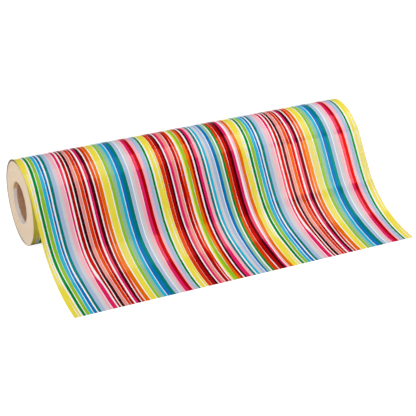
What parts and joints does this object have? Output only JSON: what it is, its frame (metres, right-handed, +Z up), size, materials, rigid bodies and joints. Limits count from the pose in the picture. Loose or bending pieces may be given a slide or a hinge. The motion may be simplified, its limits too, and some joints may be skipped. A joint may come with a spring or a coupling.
{
  "type": "wrapping paper roll",
  "caption": "Counter roll of striped wrapping paper wound on a cardboard core, its outer turn running off into a free sheet that lies on the table.",
  "frame": {"origin": "middle of the core's bore, on the roll's axis halfway along it", "axes": "+X along the roll's axis, +Z up from the table, -Y towards the cut end of the free sheet"},
  "size_m": [0.5, 0.2763, 0.1211],
  "materials": {
    "kraft_ply": "smooth brown kraft paper, matte",
    "core_board": "cut edge of brown board, matte and fibrous",
    "tape": "yellowish adhesive tape, semi-gloss",
    "paper_edges": "cream cut edges of wound paper, matte",
    "printed_paper": "coated paper printed with many-coloured stripes, semi-gloss"
  },
  "bodies": {
    "outer_wrap": {"outer_turn": "printed_paper"},
    "roll": {"core_inner_ply": "kraft_ply", "core_board_ply_1": "core_board", "core_board_ply_2": "core_board", "core_board_ply_3": "core_board", "core_board_ply_4": "core_board", "core_board_ply_5": "core_board", "core_outer_ply": "kraft_ply", "start_tape": "tape", "wound_paper": "paper_edges"},
    "sheet": {"free_sheet": "printed_paper"},
    "sheet_end": {"cut_end": "printed_paper"}
  },
  "joints": [
    {"name": "roll_turn", "type": "hinge", "parent": "outer_wrap", "child": "roll", "pos_m": [0, 0, 0], "axis": [1, 0, 0], "range_deg": [0, 360]},
    {"name": "sheet_lift", "type": "hinge", "parent": "outer_wrap", "child": "sheet", "pos_m": [0, -0.00423, 0.06045], "axis": [-1, 0, 0], "range_deg": [0, 70]},
    {"name": "pay_out", "type": "slide", "parent": "sheet", "child": "sheet_end", "axis": [0, -1, 0], "range_m": [0, 0.379]}
  ],
  "couplings": [
    {"joint": "pay_out", "follows": "roll_turn", "m_per_rad": 0.0603}
  ]
}
